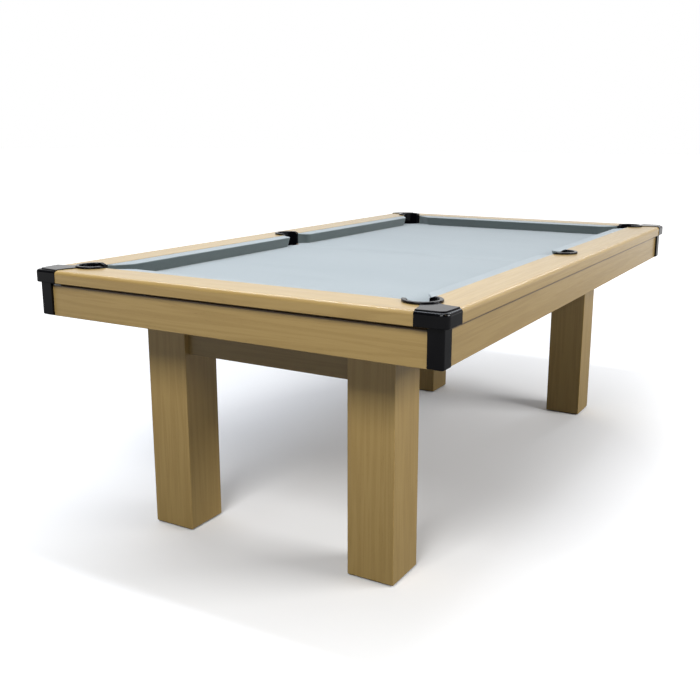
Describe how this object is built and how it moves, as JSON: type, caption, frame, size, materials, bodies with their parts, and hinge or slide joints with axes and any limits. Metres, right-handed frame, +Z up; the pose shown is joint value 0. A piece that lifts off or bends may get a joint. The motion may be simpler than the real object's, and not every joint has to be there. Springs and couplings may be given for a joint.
{
  "type": "pool table",
  "caption": "Free-standing home pool table: pale oak rails and aprons, blue-grey cloth and cushions, black corner mouldings and drop pockets, and thick square oak legs.",
  "frame": {"origin": "on the floor under the middle of the table, the centre of the bounding box's underside", "axes": "+X along the table's length towards the right end, +Y across it towards the back long side, +Z up"},
  "size_m": [2.305, 1.314, 0.8235],
  "materials": {
    "oak": "satin lacquered pale oak",
    "beam_wood": "planed softwood, unfinished",
    "bed_board": "fine-fibre board, unfinished",
    "bed_cloth": "napped playing cloth",
    "cushion_cloth": "cushion rubber covered in the same cloth",
    "black_moulding": "gloss black moulding",
    "black_cup": "matt black moulding",
    "pad_plastic": "matt black nylon",
    "zinc_steel": "zinc plated"
  },
  "bodies": {
    "table": {"rail_front": "oak", "apron_front": "oak", "side_beam_front": "beam_wood", "side_pocket_front": "black_moulding", "pocket_cup_side_front": "black_cup", "rail_back": "oak", "apron_back": "oak", "side_beam_back": "beam_wood", "side_pocket_back": "black_moulding", "pocket_cup_side_back": "black_cup", "rail_left": "oak", "apron_left": "oak", "cushion_left": "cushion_cloth", "end_stretcher_left": "oak", "rail_right": "oak", "apron_right": "oak", "cushion_right": "cushion_cloth", "end_stretcher_right": "oak", "cushion_front_left": "cushion_cloth", "corner_trim_front_left": "black_moulding", "corner_pocket_front_left": "black_moulding", "pocket_cup_front_left": "black_cup", "leg_front_left": "oak", "cushion_back_left": "cushion_cloth", "corner_trim_back_left": "black_moulding", "corner_pocket_back_left": "black_moulding", "pocket_cup_back_left": "black_cup", "leg_back_left": "oak", "cushion_front_right": "cushion_cloth", "corner_trim_front_right": "black_moulding", "corner_pocket_front_right": "black_moulding", "pocket_cup_front_right": "black_cup", "leg_front_right": "oak", "cushion_back_right": "cushion_cloth", "corner_trim_back_right": "black_moulding", "corner_pocket_back_right": "black_moulding", "pocket_cup_back_right": "black_cup", "leg_back_right": "oak", "cross_beam_left": "beam_wood", "cross_beam_middle_left": "beam_wood", "cross_beam_middle_right": "beam_wood", "cross_beam_right": "beam_wood", "bed_board": "bed_board", "bed_cloth": "bed_cloth", "leg_top_blocks": "beam_wood", "leg_foot_plates": "bed_board", "leveller_tnuts": "zinc_steel", "apron_brackets": "zinc_steel", "rail_bolts": "zinc_steel", "leg_bolts": "zinc_steel", "stretcher_bolts": "zinc_steel", "wood_screws": "zinc_steel"},
    "pad_front_left": {"leveller_pad_front_left": "pad_plastic"},
    "stud_front_left": {"leveller_stud_front_left": "zinc_steel"},
    "pad_back_left": {"leveller_pad_back_left": "pad_plastic"},
    "stud_back_left": {"leveller_stud_back_left": "zinc_steel"},
    "pad_front_right": {"leveller_pad_front_right": "pad_plastic"},
    "stud_front_right": {"leveller_stud_front_right": "zinc_steel"},
    "pad_back_right": {"leveller_pad_back_right": "pad_plastic"},
    "stud_back_right": {"leveller_stud_back_right": "zinc_steel"}
  },
  "joints": [
    {"name": "level_front_left", "type": "slide", "parent": "table", "child": "pad_front_left", "axis": [0, 0, -1], "range_m": [0, 0.02]},
    {"name": "screw_front_left", "type": "hinge", "parent": "pad_front_left", "child": "stud_front_left", "pos_m": [-0.8735, -0.351, 0.03], "axis": [0, 0, -1], "range_deg": [0, 4801]},
    {"name": "level_back_left", "type": "slide", "parent": "table", "child": "pad_back_left", "axis": [0, 0, -1], "range_m": [0, 0.02]},
    {"name": "screw_back_left", "type": "hinge", "parent": "pad_back_left", "child": "stud_back_left", "pos_m": [-0.8735, 0.351, 0.03], "axis": [0, 0, -1], "range_deg": [0, 4801]},
    {"name": "level_front_right", "type": "slide", "parent": "table", "child": "pad_front_right", "axis": [0, 0, -1], "range_m": [0, 0.02]},
    {"name": "screw_front_right", "type": "hinge", "parent": "pad_front_right", "child": "stud_front_right", "pos_m": [0.8735, -0.351, 0.03], "axis": [0, 0, -1], "range_deg": [0, 4801]},
    {"name": "level_back_right", "type": "slide", "parent": "table", "child": "pad_back_right", "axis": [0, 0, -1], "range_m": [0, 0.02]},
    {"name": "screw_back_right", "type": "hinge", "parent": "pad_back_right", "child": "stud_back_right", "pos_m": [0.8735, 0.351, 0.03], "axis": [0, 0, -1], "range_deg": [0, 4801]}
  ],
  "couplings": [
    {"joint": "screw_front_left", "follows": "level_front_left", "rad_per_m": 4188.8},
    {"joint": "screw_back_left", "follows": "level_back_left", "rad_per_m": 4188.8},
    {"joint": "screw_front_right", "follows": "level_front_right", "rad_per_m": 4188.8},
    {"joint": "screw_back_right", "follows": "level_back_right", "rad_per_m": 4188.8}
  ]
}
